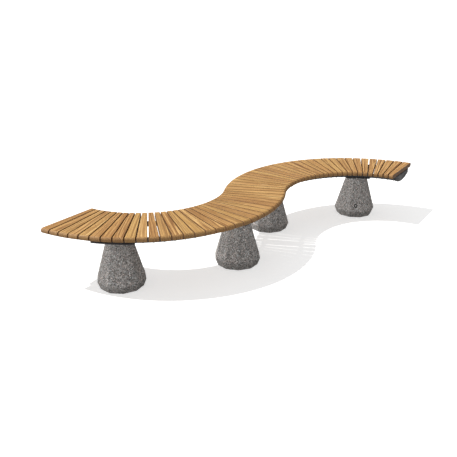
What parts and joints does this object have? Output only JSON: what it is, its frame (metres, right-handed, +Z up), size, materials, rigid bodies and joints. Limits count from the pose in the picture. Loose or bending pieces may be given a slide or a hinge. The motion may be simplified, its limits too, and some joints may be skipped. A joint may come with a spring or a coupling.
{
  "type": "backless bench",
  "caption": "Serpentine backless bench: tapered timber slats fanned over curved steel rails, standing on ten-sided tapered concrete feet.",
  "frame": {"origin": "on the ground under the middle of the bench, where the two modules meet", "axes": "+X along the length of the bench, +Y across it towards the back, +Z up"},
  "size_m": [3.3274, 1.2984, 0.45],
  "materials": {
    "timber": "oiled hardwood",
    "frame_steel": "satin charcoal powder coat",
    "fastener_steel": "stainless steel",
    "concrete": "exposed aggregate concrete",
    "anchor_plastic": "matt black"
  },
  "bodies": {
    "root": {"joint_bolts": "fastener_steel", "joint_nuts": "fastener_steel", "joint_washers": "fastener_steel", "left_free_end_plate": "frame_steel", "left_inner_foot": "concrete", "left_inner_foot_anchor_core": "fastener_steel", "left_inner_foot_anchor_ring": "anchor_plastic", "left_inner_foot_bolts": "fastener_steel", "left_inner_foot_sockets": "fastener_steel", "left_inner_foot_washers": "fastener_steel", "left_inner_rail": "frame_steel", "left_inner_rail_screws": "fastener_steel", "left_inner_saddle_plate": "frame_steel", "left_joint_end_plate": "frame_steel", "left_outer_foot": "concrete", "left_outer_foot_anchor_core": "fastener_steel", "left_outer_foot_anchor_ring": "anchor_plastic", "left_outer_foot_bolts": "fastener_steel", "left_outer_foot_sockets": "fastener_steel", "left_outer_foot_washers": "fastener_steel", "left_outer_rail": "frame_steel", "left_outer_rail_screws": "fastener_steel", "left_outer_saddle_plate": "frame_steel", "left_slats_1": "timber", "left_slats_2": "timber", "left_slats_3": "timber", "left_slats_4": "timber", "left_slats_5": "timber", "left_slats_6": "timber", "left_slats_7": "timber", "right_free_end_plate": "frame_steel", "right_inner_foot": "concrete", "right_inner_foot_anchor_core": "fastener_steel", "right_inner_foot_anchor_ring": "anchor_plastic", "right_inner_foot_bolts": "fastener_steel", "right_inner_foot_sockets": "fastener_steel", "right_inner_foot_washers": "fastener_steel", "right_inner_rail": "frame_steel", "right_inner_rail_screws": "fastener_steel", "right_inner_saddle_plate": "frame_steel", "right_joint_end_plate": "frame_steel", "right_outer_foot": "concrete", "right_outer_foot_anchor_core": "fastener_steel", "right_outer_foot_anchor_ring": "anchor_plastic", "right_outer_foot_bolts": "fastener_steel", "right_outer_foot_sockets": "fastener_steel", "right_outer_foot_washers": "fastener_steel", "right_outer_rail": "frame_steel", "right_outer_rail_screws": "fastener_steel", "right_outer_saddle_plate": "frame_steel", "right_slats_1": "timber", "right_slats_2": "timber", "right_slats_3": "timber", "right_slats_4": "timber", "right_slats_5": "timber", "right_slats_6": "timber", "right_slats_7": "timber"}
  },
  "joints": []
}
